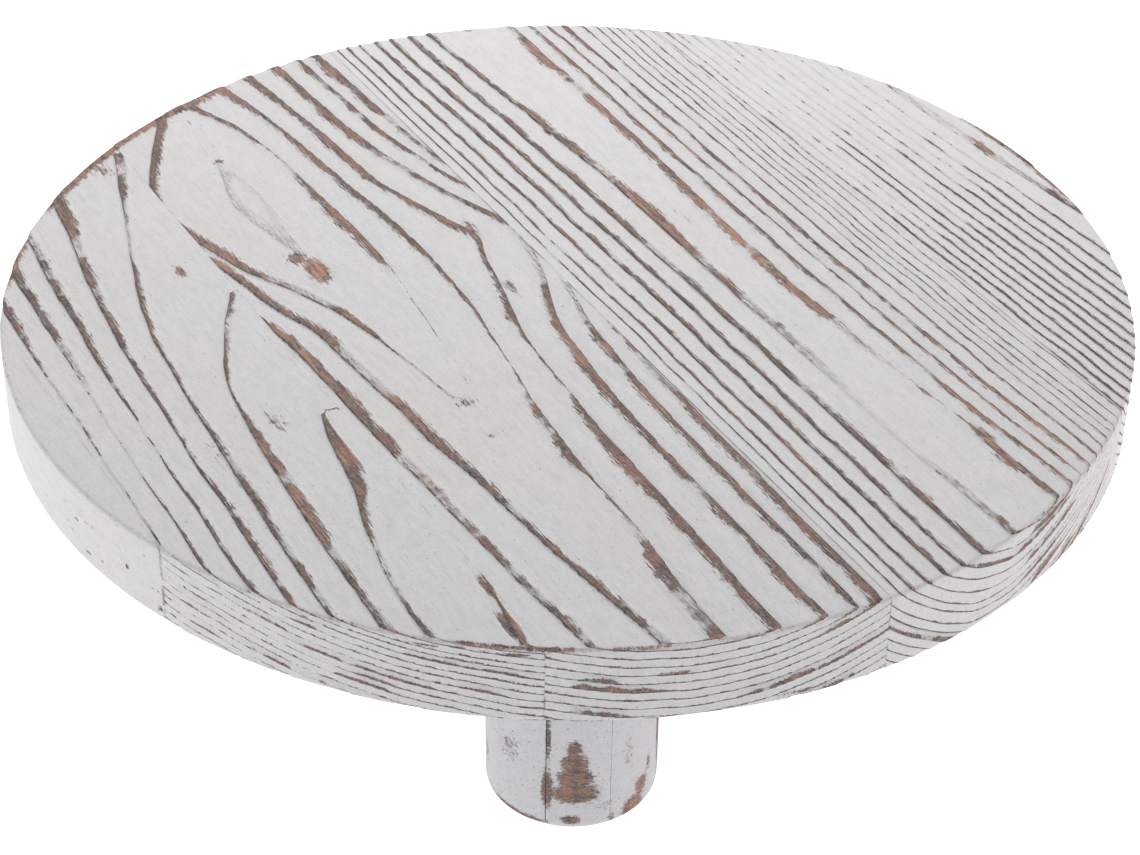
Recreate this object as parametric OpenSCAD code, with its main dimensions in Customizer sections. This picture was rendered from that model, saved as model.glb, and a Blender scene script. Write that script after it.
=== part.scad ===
// Round painted cake stand: a thick disc glued up from five boards, carried on
// three short round legs. Each leg is laminated from three staves, and is held by
// one wood screw driven up through its core stave into the underside of the top.
// Millimetres, +Z up. The origin is on the table, under the centre of the top.
// The front leg stands towards -Y.

/* [Stand] */
// Height of the upper face of the top above the table
stand_h = 87; // [80:0.5:120]

/* [Top] */
// Diameter of the top
top_d = 304.8; // [290:0.1:360]
// Thickness of the top
top_t = 22.4; // [20:0.1:28]
// Radius of the rounding on the upper and lower edge of the rim
rim_round = 1.0; // [0.5:0.1:2]
// Turn of the board joints about Z, from the Y axis
grain_turn = 28.4; // [0:0.1:90]
// Offset of the joint between the left edge board and the left board
joint_1 = -142.5; // [-144:0.1:-120]
// Offset of the joint between the left board and the centre board
joint_2 = -79.6; // [-100:0.1:-60]
// Offset of the joint between the centre board and the right board
joint_3 = 1; // [-30:0.1:30]
// Offset of the joint between the right board and the right edge board
joint_4 = 97; // [60:0.1:140]

/* [Legs] */
// Diameter of a leg
leg_d = 44.5; // [36:0.1:60]
// Distance of each leg's axis from the centre of the top
leg_circle_r = 100; // [80:0.5:115]
// Radius of the rounding at the foot of a leg
foot_round = 2.4; // [1:0.1:4]
// Joint between a leg's left stave and its core stave, from the leg's axis
stave_joint_l = -7; // [-8:0.1:-5.2]
// Joint between a leg's core stave and its right stave, from the leg's axis
stave_joint_r = 9.4; // [5.2:0.1:14]

/* [Foot pads] */
// Diameter of the felt pad under each leg
pad_d = 32; // [20:1:34]
// Thickness of the felt pad
pad_t = 1.5; // [1:0.1:3]

/* [Leg screws] */
// Length of a leg screw over its countersunk head
screw_len = 50; // [44:1:50]
// Outer diameter of a screw's thread
screw_d = 4.4; // [3.6:0.1:4.6]
// Diameter of a screw's head
head_d = 8.6; // [7.6:0.1:9]
// Depth of the counterbore that hides the head
counterbore_depth = 26; // [16:0.5:26]

/* [Hidden] */
$fn = 96;
round_steps = 3;

// Top
top_r = top_d / 2;
top_z = stand_h - top_t;
past = 2;
board_edges = [-top_r - past, joint_1, joint_2, joint_3, joint_4, top_r + past];
paint_top = "gainsboro";
paint_leg = "whitesmoke";

// Legs: the angle of each leg about Z, counted from the front leg
leg_r = leg_d / 2;
leg_h = top_z - pad_t;
leg_turn = [0, 120, 240];
stave_edges = [-leg_r - past, stave_joint_l, stave_joint_r, leg_r + past];

// Screws: every height is above the table
head_z = pad_t + counterbore_depth;
cone_h = 2.6;
root_r = screw_d / 2 - 0.75;
thread_pitch = 2;
thread_turns = 13;
tip_h = 4;
fit_gap = 0.05;
tip_z = head_z + screw_len;
thread_top_z = tip_z - tip_h;
thread_z = thread_top_z - thread_turns * thread_pitch;
counterbore_d = 9.6;

// Points of a quarter round of radius r about [x, z], from angle a counter-clockwise
function quarter(x, z, r, a) = [
    for (k = [0 : round_steps])
        [x + r * cos(a + 90 * k / round_steps), z + r * sin(a + 90 * k / round_steps)]
];

// Half outline of a round block: radius r, height h, edges rounded by low and high
module block_outline(r, h, low, high) {
    polygon(concat(
        [[0, 0]],
        quarter(r - low, low, low, -90),
        quarter(r - high, h - high, high, 0),
        [[0, h]]
    ));
}

// A child of this module stands at leg i, with the leg's axis on Z
module at_leg(i) {
    rotate([0, 0, leg_turn[i]]) translate([0, -leg_circle_r, 0]) children();
}

// Room for one leg screw, along Z: counterbore, countersink and screw hole
module screw_room() {
    translate([0, 0, -past]) cylinder(d = counterbore_d, h = head_z + past);
    translate([0, 0, head_z]) cylinder(d1 = head_d, d2 = screw_d, h = cone_h);
    cylinder(r = screw_d / 2 + fit_gap, h = tip_z + fit_gap);
}

module top_disc() {
    translate([0, 0, top_z])
        rotate_extrude() block_outline(top_r, top_t, rim_round, rim_round);
}

// Board i of the top, counted from the left
module top_board(i) {
    width = board_edges[i + 1] - board_edges[i];
    difference() {
        intersection() {
            top_disc();
            rotate([0, 0, grain_turn])
                translate([board_edges[i], -top_r - past, top_z - past])
                    cube([width, 2 * (top_r + past), top_t + 2 * past]);
        }
        for (leg = [0 : 2]) at_leg(leg) screw_room();
    }
}

// Stave k of leg i, counted from the left as seen from outside
module leg_stave(i, k) {
    width = stave_edges[k + 1] - stave_edges[k];
    at_leg(i) difference() {
        intersection() {
            translate([0, 0, pad_t])
                rotate_extrude() block_outline(leg_r, leg_h, foot_round, rim_round / 2);
            translate([stave_edges[k], -leg_r - past, 0])
                cube([width, 2 * (leg_r + past), top_z]);
        }
        if (k == 1) screw_room();
    }
}

module leg_pad(i) {
    at_leg(i) cylinder(d = pad_d, h = pad_t);
}

// Countersunk wood screw, head down, with a ringed thread and a point
module leg_screw(i) {
    crest = screw_d / 2;
    flank = thread_pitch / 2;
    at_leg(i) rotate_extrude() polygon(concat(
        [[0, head_z], [head_d / 2, head_z], [crest, head_z + cone_h], [crest, thread_z]],
        [for (n = [0 : thread_turns - 1])
            for (p = [[root_r, flank], [crest, thread_pitch]])
                [p[0], thread_z + n * thread_pitch + p[1]]],
        [[root_r, thread_top_z + flank], [0, tip_z]]
    ));
}

module top_board_left_edge() { color(paint_top) top_board(0); }
module top_board_left() { color(paint_top) top_board(1); }
module top_board_centre() { color(paint_top) top_board(2); }
module top_board_right() { color(paint_top) top_board(3); }
module top_board_right_edge() { color(paint_top) top_board(4); }

module front_leg_left_stave() { color(paint_leg) leg_stave(0, 0); }
module front_leg_core_stave() { color(paint_leg) leg_stave(0, 1); }
module front_leg_right_stave() { color(paint_leg) leg_stave(0, 2); }
module right_leg_left_stave() { color(paint_leg) leg_stave(1, 0); }
module right_leg_core_stave() { color(paint_leg) leg_stave(1, 1); }
module right_leg_right_stave() { color(paint_leg) leg_stave(1, 2); }
module left_leg_left_stave() { color(paint_leg) leg_stave(2, 0); }
module left_leg_core_stave() { color(paint_leg) leg_stave(2, 1); }
module left_leg_right_stave() { color(paint_leg) leg_stave(2, 2); }

module front_leg_pad() { color("saddlebrown") leg_pad(0); }
module right_leg_pad() { color("saddlebrown") leg_pad(1); }
module left_leg_pad() { color("saddlebrown") leg_pad(2); }

module front_leg_screw() { color("silver") leg_screw(0); }
module right_leg_screw() { color("silver") leg_screw(1); }
module left_leg_screw() { color("silver") leg_screw(2); }

top_board_left_edge();
top_board_left();
top_board_centre();
top_board_right();
top_board_right_edge();
front_leg_left_stave();
front_leg_core_stave();
front_leg_right_stave();
right_leg_left_stave();
right_leg_core_stave();
right_leg_right_stave();
left_leg_left_stave();
left_leg_core_stave();
left_leg_right_stave();
front_leg_pad();
right_leg_pad();
left_leg_pad();
front_leg_screw();
right_leg_screw();
left_leg_screw();
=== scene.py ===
"""Round cake stand: five glued boards, painted and worn back to the grain, on three laminated legs.

Every ring of the wood is worked out once, as a field through the board. The field gives the mesh
its brushed relief and gives the material the ridges that wear has bared, so the two always agree.
"""
import math

import bpy
import numpy as np
from bpy.props import FloatProperty, FloatVectorProperty, PointerProperty
from mathutils import Matrix, Vector


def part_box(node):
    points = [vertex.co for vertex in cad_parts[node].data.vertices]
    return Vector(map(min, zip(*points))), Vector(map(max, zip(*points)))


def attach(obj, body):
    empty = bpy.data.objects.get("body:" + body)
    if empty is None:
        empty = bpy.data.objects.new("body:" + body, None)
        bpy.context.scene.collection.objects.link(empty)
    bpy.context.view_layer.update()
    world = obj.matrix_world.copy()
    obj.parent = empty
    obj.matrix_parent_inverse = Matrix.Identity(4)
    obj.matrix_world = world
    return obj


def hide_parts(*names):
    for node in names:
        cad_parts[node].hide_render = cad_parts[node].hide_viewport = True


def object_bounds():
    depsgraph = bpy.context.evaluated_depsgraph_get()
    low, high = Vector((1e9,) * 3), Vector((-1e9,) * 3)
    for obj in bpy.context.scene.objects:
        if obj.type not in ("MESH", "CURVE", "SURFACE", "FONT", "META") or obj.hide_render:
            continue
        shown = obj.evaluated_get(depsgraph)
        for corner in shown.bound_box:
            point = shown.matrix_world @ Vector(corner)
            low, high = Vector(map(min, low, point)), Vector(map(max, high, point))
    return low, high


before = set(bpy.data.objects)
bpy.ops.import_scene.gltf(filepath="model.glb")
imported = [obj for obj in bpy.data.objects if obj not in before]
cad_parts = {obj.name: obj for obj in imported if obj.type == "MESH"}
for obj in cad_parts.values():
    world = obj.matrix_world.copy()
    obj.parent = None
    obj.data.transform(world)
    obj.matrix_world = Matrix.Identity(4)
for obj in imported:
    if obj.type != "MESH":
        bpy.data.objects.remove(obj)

bl_info = {
    "name": "Worn Painted Cake Stand",
    "version": (1, 0, 0),
    "blender": (4, 5, 0),
    "location": "View3D > Sidebar > Cake Stand",
    "description": "Builds a round stand of worn painted boards on short laminated legs",
    "category": "Add Mesh",
}

CAD_LOW, CAD_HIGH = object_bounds()
MM = 0.001
TINY = 1e-6
FAR = 50.0  # Millimetres from a joint, where no joint is near

# ------------------------------------------------------------------ places taken from the frame

TOP_R = CAD_HIGH.x
TOP_Z = CAD_HIGH.z
TOP_T = TOP_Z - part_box("top_board_centre")[0].z


def grain_turn():
    """Angle about Z from the X axis to the line across the boards, from the right edge board's box."""
    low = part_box("top_board_right_edge")[0]
    return (math.acos(low.x / TOP_R) + math.asin(low.y / TOP_R)) / 2


def joint_at(angle):
    """Offset, across the boards, of the joint that meets the rim at this angle."""
    return TOP_R * math.cos(angle - TURN)


TURN = grain_turn()
JOINTS = (
    joint_at(math.pi - math.asin(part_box("top_board_left_edge")[1].y / TOP_R)),
    joint_at(2 * math.pi - math.acos(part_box("top_board_left")[1].x / TOP_R)),
    joint_at(math.pi - math.asin(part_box("top_board_centre")[1].y / TOP_R)),
    joint_at(math.acos(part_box("top_board_right_edge")[0].x / TOP_R)),
)

PAD_LOW, PAD_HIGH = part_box("front_leg_pad")
LEG_AXIS = (PAD_LOW + PAD_HIGH) / 2
LEG_R = LEG_AXIS.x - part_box("front_leg_left_stave")[0].x
LEG_LOW, LEG_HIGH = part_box("front_leg_core_stave")
LEG_SIDES = ("front", "right", "left")
LEG_STEP = 2 * math.pi / len(LEG_SIDES)

# ------------------------------------------------------------------ rings of each board
#
# Lengths here are in millimetres. A board's rings are arcs about a pith that lies above it. The
# nadir is where an arc is lowest, and core is the number of the ring that touches the upper face
# there. A grain line is where one ring ends on the upper face: a list of points (along the grain,
# across the boards, width of the bare ridge), counted outwards from the nadir.

HALF = 160
ALONG = np.arange(-HALF, HALF + 1.0)
EASE = 9
EASE_WINDOW = np.hanning(2 * EASE + 3)[1:-1] / np.hanning(2 * EASE + 3)[1:-1].sum()


def eased(points, column):
    """One column of a grain line's points, as a smooth curve with a value for every millimetre."""
    raw = np.interp(ALONG, [p[0] for p in points], [p[column] for p in points])
    return np.convolve(np.pad(raw, EASE, mode="edge"), EASE_WINDOW, mode="valid")


def gentle(back, middle, front, ridge):
    """Points of a nearly straight grain line, from its place at the back, middle and front."""
    return [(-145, back, ridge), (-70, (back + 2 * middle) / 3, ridge), (20, middle, ridge),
            (90, (front + 2 * middle) / 3, ridge), (145, front, ridge)]


BOARDS = {
    "top_board_left_edge": {
        "nadir": [(-50, -149), (50, -147)],
        "core": [(-50, 0.3), (50, 0.6)],
        "pith": 24, "ring": 6.0, "ridge": 0.4, "rim_ridge": 0.3, "cover": 1.0,
        "left": [], "right": [],
    },
    "top_board_left": {
        "nadir": [(-130, -78), (-50, -78), (-20, -80), (20, -83), (60, -82), (100, -79), (140, -79)],
        "core": [(-125, 3.0), (-42, 2.0), (20, 1.0), (100, 0.0), (140, -0.4)],
        "pith": 150, "ring": 2.2, "ridge": 1.2, "rim_ridge": 0.5, "cover": 0.0,
        "right": [],
        "left": [
            [(20, -84, 3), (29, -87, 3), (45, -90, 4), (57, -92, 3), (65, -95, 1.4), (81, -98, 1.2),
             (97, -100.6, 1), (111, -101.4, 1.6)],
            [(-42, -81, 1.5), (-27, -90, 1.8), (-7, -99, 1.2), (5, -102, 0.7), (33, -105, 2.6),
             (61, -107, 2.8), (80, -108, 1.8), (105, -109, 1.8)],
            [(-125, -81.4, 4), (-111, -86, 3), (-97, -90, 1.2), (-67, -100, 1.1), (-50, -105, 1.4),
             (-27, -109.4, 1), (5, -112.4, 1), (37, -114.6, 1.8), (75, -117, 1.6), (100, -118, 1.4)],
            [(-107, -107, 3.4), (-87, -110, 2.8), (-71, -113, 2.2), (-39, -117, 1.6), (-7, -119.4, 1),
             (25, -121.4, 1), (50, -122.2, 1.5), (85, -124, 1.3)],
            [(-91, -120.6, 2), (-63, -123.4, 2.2), (-27, -126, 1.4), (9, -127.4, 0.5),
             (35, -128.4, 0.9), (70, -130, 1.2)],
            [(-81, -130, 2.4), (-60, -131.6, 2.2), (-25, -133, 1.5), (0, -134, 0.4), (33, -135, 0.5),
             (61, -136, 0.9)],
            [(-60, -139, 2.2), (-40, -139.6, 0.9), (20, -140.8, 0.5), (50, -141.6, 0.7)],
        ],
    },
    "top_board_centre": {
        "nadir": [(-145, -56), (-60, -57.5), (-20, -55), (34, -50), (100, -49), (150, -48.5)],
        "core": [(-150, 1.1), (-142, 0.9), (-112, 0.05), (-80, -0.3), (-46, 0.0), (-10, 0.55),
                 (34, 1.0), (150, 1.9)],
        "pith": 120, "ring": 2.5, "ridge": 1.4, "rim_ridge": 0.75, "cover": 0.0,
        "left": [
            [(-138, -62, 3.2), (-125, -69, 3), (-105, -79, 2.4), (-88, -84, 2), (-69, -80, 2.6),
             (-49, -75, 2.8), (-35, -67, 2.6), (-19, -61, 2.2), (-3, -57, 1), (12, -54.5, 0.4),
             (34, -52, 0.9)],
            [(-140, -80, 2), (-80, -92, 2), (-53, -79, 2.2), (-27, -75, 2.2), (-13, -70, 2.6),
             (5, -68.6, 2.8), (53, -65, 2.6), (69, -63, 1.8), (97, -60.6, 1.5), (121, -58, 1.8),
             (139, -55.4, 2.2)],
            [(-50, -90, 2), (-17, -79.6, 2), (-3, -78, 2.6), (40, -76.6, 2.6), (75, -75, 2.2),
             (101, -73.4, 1.6), (135, -70.6, 2)],
        ],
        "right": [
            [(-140, -50, 3), (-123, -43, 1.8), (-100, -39.8, 0.9), (-75, -38.4, 2.4),
             (-50, -37.6, 3), (-36, -38, 1.8), (-24, -39, 0.4), (10, -43, 0.3), (34, -46, 0.7)],
            [(-147, -37.4, 2.6), (-123, -33, 1.8), (-109, -31.4, 1.6), (-71, -28, 2.6),
             (-50, -26, 2.8), (-33, -25.6, 1.6), (-3, -27, 1.2), (21, -31, 0.5), (48, -35, 1.8),
             (66, -36.6, 3), (80, -37.4, 0.8), (103, -37.6, 1.2), (121, -40, 4.2), (141, -40.8, 4.6)],
            [(-149, -27, 2.8), (-115, -23.4, 2.4), (-95, -22, 2.4), (-75, -20.6, 2.4),
             (-62, -17, 1.8), (-43, -11, 2.6), (-35, -7.6, 1.8), (-27, -12, 1.2), (-9, -15.6, 1.8),
             (3, -19, 2), (21, -22.4, 0.6), (45, -24.2, 1.2), (57, -25.2, 2.6), (105, -26.4, 2.4),
             (145, -27.6, 2.8)],
            [(-151, -17, 2.4), (-109, -15, 2.8), (-89, -12.6, 2.8), (-61, -6, 2), (-43, 0.5, 2.2),
             (-33, 3, 2), (-22, 1, 2), (-9, -2, 2), (3, -7, 2), (15, -11, 1.6), (31, -13, 2.8),
             (65, -15.4, 2.4), (149, -15.8, 2.2)],
            [(-152, -9.6, 2.2), (-103, -7, 2), (-71, -2, 1.6), (-45, 6, 1.6), (-25, 6, 1.6),
             (0, 0.6, 1.4), (18, -3.8, 2), (61, -6.6, 1.8), (149, -7.4, 2)],
            [(-152, -3, 3), (-115, -1.4, 2.6), (-79, 0.6, 1.4), (-40, 11, 1.4), (0, 4, 1.4),
             (40, 0.6, 1.4), (85, 0, 2), (151, -1, 2.6)],
        ],
    },
    "top_board_right": {
        "nadir": [(-150, 45), (0, 46), (150, 48.5)],
        "core": [(-150, 0.35), (150, 0.35)],
        "pith": 40, "ring": 2.45, "ridge": 0.8, "rim_ridge": 0.75, "cover": 0.0,
        "left": [
            [(-150, 32, 1.6), (-110, 34.5, 1.4), (-80, 36.4, 2.2), (-50, 37.8, 2.6), (-15, 38.2, 2.8),
             (20, 38, 2), (60, 38.4, 1.8), (100, 38.4, 1.2), (145, 40, 1.6)],
            gentle(26, 29.5, 29, 1.7),
            gentle(20, 23.5, 22, 1.2),
            gentle(15, 17.8, 16.5, 1.3),
            gentle(10, 12.2, 11, 1.0),
            gentle(6, 7.4, 6.4, 0.9),
            gentle(3, 4.2, 3.4, 0.35),
            gentle(-1, 0, -1, 0.6),
        ],
        "right": [
            [(-140, 59, 2.6), (-100, 58.6, 2.8), (-50, 57.6, 2.2), (-15, 56, 2.8), (20, 55, 3.4),
             (55, 55.6, 1.8), (80, 56.6, 0.9), (104, 58.6, 1), (114, 59, 2.6), (140, 60, 2)],
            gentle(65, 62.2, 66.5, 1.5),
            gentle(69.5, 67.8, 70.5, 1.1),
            gentle(74, 72.4, 75.5, 1.4),
            gentle(78.5, 77.3, 79.5, 0.9),
            gentle(82, 81, 83, 0.8),
            gentle(85, 84, 86, 0.7),
            gentle(87.5, 86.5, 88.5, 0.6),
            gentle(90.5, 89, 91, 0.7),
            gentle(93.5, 92.2, 94, 0.6),
            gentle(96.5, 95.4, 97, 0.6),
        ],
    },
    "top_board_right_edge": {
        "nadir": [(-150, 168), (150, 172)],
        "core": [(-150, 0.4), (150, 0.4)],
        "pith": 62, "ring": 2.4, "ridge": 0.8, "rim_ridge": 0.6, "cover": 0.0,
        "right": [],
        "left": [
            [(-40, 148, 0.9), (-10, 150.5, 3), (20, 152, 2.4), (60, 154, 1)],
            [(-40, 141.5, 2), (0, 143.4, 2.2), (25, 146, 2), (50, 149, 0.8)],
            [(-70, 134, 0.7), (0, 138, 0.8), (60, 140.6, 0.9)],
            [(-80, 130, 0.7), (0, 133.4, 0.8), (70, 136, 0.9)],
            [(-90, 126, 0.6), (0, 129.5, 0.8), (80, 132, 0.9)],
            [(-90, 122.4, 0.6), (0, 125.6, 0.8), (80, 128.4, 0.9)],
            [(-100, 118.6, 0.6), (0, 121.4, 0.8), (90, 124.4, 0.9)],
            [(-100, 115, 0.6), (0, 117.4, 0.8), (100, 120.8, 0.9)],
            [(-100, 112, 0.6), (0, 114.2, 0.8), (105, 117.4, 0.9)],
            [(-105, 108.6, 0.6), (0, 111, 0.7), (108, 113.8, 0.9)],
            [(-105, 105.4, 0.5), (0, 107.6, 0.7), (110, 110.2, 0.9)],
            [(-108, 102, 0.5), (0, 104.4, 0.7), (112, 106.8, 0.8)],
            [(-110, 99.4, 0.5), (0, 101.2, 0.7), (115, 103.2, 0.8)],
        ],
    },
}

# Bare spots on the upper face: along, across, half length, half width, how bare, how orange
SPOTS = (
    (-40, -56.5, 9.0, 4.2, 1.0, 0.9), (-48, -59, 5.0, 4.0, 0.85, 0.3), (35, -50, 3.5, 5.0, 0.62, 0.0),
    (50, -51, 4.0, 2.5, 0.56, 0.0), (-106, -56.5, 2.6, 2.6, 0.75, 0.2), (-57, -89.5, 5.0, 2.0, 0.8, 0.4),
    (20, -96, 9.0, 3.5, 0.6, 0.0), (-40, -9, 9.0, 3.0, 0.6, 0.1), (-8, -14, 7.0, 2.5, 0.66, 0.1),
    (-8, 144.5, 12.0, 2.6, 0.8, 0.7), (-15, 151, 16.0, 1.8, 0.9, 0.8),
    (103, -80.5, 7.0, 1.6, 0.9, 0.1), (119, -82.6, 8.0, 2.6, 0.9, 0.1), (110, 59, 6.0, 2.0, 0.9, 1.0),
    (-145, 46, 3.0, 3.5, 0.7, 0.0), (-77, 36.5, 5.0, 2.4, 0.7, 0.3), (-118, -88, 10.0, 6.0, 0.62, 0.7),
    (-130, -55, 9.0, 3.0, 0.5, 0.7), (-20, 47, 16.0, 3.0, 0.44, 0.0), (30, -115, 20.0, 2.5, 0.5, 0.2),
)

# Stretches where bare wood is orange-brown: along, across, half length, half width
WARM = (
    (40, -106, 34, 3), (-6, -78, 26, 3), (-55, -78, 14, 5), (-40, -70, 22, 5), (5, 54, 45, 4),
    (-100, 59, 45, 4), (-35, 38, 32, 4), (105, 70, 40, 14), (32, -13, 14, 3), (140, 85, 30, 30),
    (20, -66, 26, 4), (-88, -112, 20, 4), (70, -76, 20, 3), (-60, -37, 18, 3),
)

# Grain that keeps most of its paint: along, across, half length, half width, how much
COVERED = (
    (-78, -57, 42, 9, 1.0), (-75, -97, 24, 5, 0.55), (-18, -40, 20, 5, 0.5), (70, -100, 28, 3, 0.7),
    (0, -88, 18, 6, 0.6), (10, -127, 16, 4, 0.6), (10, -134, 40, 4, 0.8), (20, -140, 60, 3, 0.7),
    (90, 39, 50, 4, 1.0),
    (70, 56, 22, 4, 0.7), (90, -76, 30, 4, 0.3), (20, -46, 26, 12, 0.8), (-5, -33, 22, 5, 0.5),
    (45, -37, 12, 4, 0.4), (100, -38, 12, 4, 0.5), (60, 0, 60, 6, 0.3), (-20, 4, 16, 8, 0.5),
)

# Wear of the upper edge: angle from the line across the boards, half angle, width, how bare
EDGE_WEAR = ((236, 8, 1.3, 0.85), (222, 9, 0.8, 0.7), (246, 5, 1.2, 0.75), (121, 18, 4.2, 1.05),
             (110, 7, 6, 0.9), (288, 6, 0.9, 0.7), (-4, 9, 3, 0.85), (258, 8, 1.6, 0.5), (80, 10, 1.8, 0.55),
             (315, 8, 1.6, 0.5), (170, 8, 1.6, 0.5), (30, 9, 2, 0.55), (147, 6, 3, 0.8))

# Scuffs on the rim: angle from the line across the boards, depth, half length, half height, how bare
RIM_MARKS = ((185.5, 8.5, 1.8, 0.7, 0.75), (187.6, 10.8, 2.2, 0.6, 0.75), (189.4, 9.0, 1.4, 0.7, 0.7),
             (186.4, 16, 1.8, 0.7, 0.75), (189.4, 18.4, 2.6, 0.6, 0.75), (191.8, 17, 1.4, 0.8, 0.75),
             (195.9, 12.5, 1.2, 1.3, 0.9), (198.6, 5, 1.2, 0.8, 0.7), (200.2, 19, 1.4, 1.3, 0.8),
             (228, 2.2, 6, 0.6, 0.8), (236, 2.4, 5, 0.7, 0.85), (250, 8.5, 6, 0.8, 0.8),
             (262, 20.5, 9, 0.8, 0.75), (300, 21, 8, 0.8, 0.7))

# A check in the rim of the centre board, as (angle from the line across the boards, depth)
CHECK = ((245.3, 7.0), (245.5, 11.0), (246.0, 11.6), (245.7, 16.0), (245.8, 23.0))


def smoothstep(low, high, x):
    """A smooth step of x, from 0 at low to 1 at high."""
    t = np.clip((x - low) / (high - low), 0.0, 1.0)
    return t * t * (3 - 2 * t)


def lattice_noise(seed, u, v):
    """Smooth noise from -1 to 1 whose features are about one unit wide."""
    side = 64
    table = np.random.RandomState(seed).uniform(-1, 1, (side, side))
    iu = np.floor(u).astype(int)
    iv = np.floor(v).astype(int)
    fu = smoothstep(0, 1, u - iu)
    fv = smoothstep(0, 1, v - iv)
    near = table[iu % side, iv % side] * (1 - fu) + table[(iu + 1) % side, iv % side] * fu
    far = table[iu % side, (iv + 1) % side] * (1 - fu) + table[(iu + 1) % side, (iv + 1) % side] * fu
    return near * (1 - fv) + far * fv


def blob(u, v, middle_u, middle_v, half_u, half_v):
    """A soft round spot: 1 at its middle and 0.37 at its half length and half width."""
    return np.exp(-(((u - middle_u) / half_u) ** 2 + ((v - middle_v) / half_v) ** 2))


def degrees_past(middle, degrees):
    """How many degrees past a middle angle, from -180 to 180."""
    return (degrees - middle + 180) % 360 - 180


def flank(board, side, reach, along, nadir, core):
    """Ring number, gap between rings and ridge width, at a distance from the nadir on one side."""
    ring = core.copy()
    gap = np.full_like(reach, board["ring"] * 4)
    ridge = np.full_like(reach, board["ridge"])
    inner = np.zeros_like(reach)
    level = core.copy()
    sign = -1 if side == "left" else 1
    for number, points in enumerate(board[side], start=1):
        place = sign * (np.interp(along, ALONG, eased(points, 1)) - nadir)
        width = np.interp(along, ALONG, eased(points, 2))
        exists = (number > level + 0.02) & (place > inner + 0.3)
        span = np.where(exists, place - inner, 1.0)
        rise = np.where(exists, number - level, 1.0)
        here = exists & (reach > inner)
        part = np.clip((reach - inner) / span, 0, 1)
        ring = np.where(here, level + part * rise, ring)
        gap = np.where(here, span / rise, gap)
        ridge = np.where(here, width, ridge)
        inner = np.where(exists, place, inner)
        level = np.where(exists, number, level)
    radius = np.hypot(reach, board["pith"])
    beyond = reach > inner
    more = (radius - np.hypot(inner, board["pith"])) / board["ring"]
    ring = np.where(beyond, level + more, ring)
    gap = np.where(beyond, board["ring"] * radius / np.maximum(reach, 1.0), gap)
    ridge = np.where(beyond, board["ridge"], ridge)
    return ring, gap, ridge


def ring_field(board, across, along, depth):
    """Ring number, gap and ridge width at points of a board. Depth is below its upper face."""
    wander = 0.32 * lattice_noise(3, along / 15, across / 11)
    wander = wander + 0.13 * lattice_noise(4, along / 5, across / 6)
    nadir = np.interp(along, ALONG, eased(board["nadir"], 1))
    core = np.interp(along, ALONG, eased(board["core"], 1))
    offset = across + wander - nadir
    uneven = 0.25 * lattice_noise(5, across / 7, along / 7)
    sunk = np.maximum(depth + uneven * smoothstep(0.5, 3, depth), 0)
    reach = np.sqrt(offset ** 2 + sunk * (2 * board["pith"] + sunk))
    left = flank(board, "left", reach, along, nadir, core)
    right = flank(board, "right", reach, along, nadir, core)
    blend = smoothstep(-1, 1, offset / (3 + depth))
    ring, gap, ridge = (a * (1 - blend) + b * blend for a, b in zip(left, right))
    on_rim = smoothstep(0.4, 1.4, depth)
    rim_gap = gap * reach / (board["pith"] + sunk)
    swell = lattice_noise(16, across / 16 + along / 26, 1.73 * np.floor(ring) + 5)
    rim_ridge = board["rim_ridge"] * (0.7 + 1.3 * smoothstep(0.25, 0.55, swell))
    gap = np.clip(gap * (1 - on_rim) + rim_gap * on_rim, 0.8, 300)
    ridge = ridge * (1 - on_rim) + rim_ridge * on_rim
    return ring, gap, np.maximum(ridge, 0.0)


def relief_depth(ring, gap, ridge, cover):
    """How far brushing has sunk the surface, from 0 on a ridge to 1 at the foot of its steep side."""
    part = ring - np.floor(ring)
    ahead = (1 - part) * gap
    behind = part * gap
    shoulder = np.clip(0.45 * gap, 0.4, 1.8)
    crest = 1 - smoothstep(ridge, ridge + shoulder, ahead)
    foot = np.exp(-behind / np.clip(0.25 * gap, 0.35, 2.4))
    strength = (0.26 + 0.74 * np.clip(ridge / 1.5, 0, 1)) * (1 - 0.5 * cover)
    return (1 - crest) * (0.42 + 0.58 * foot) * strength


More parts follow.
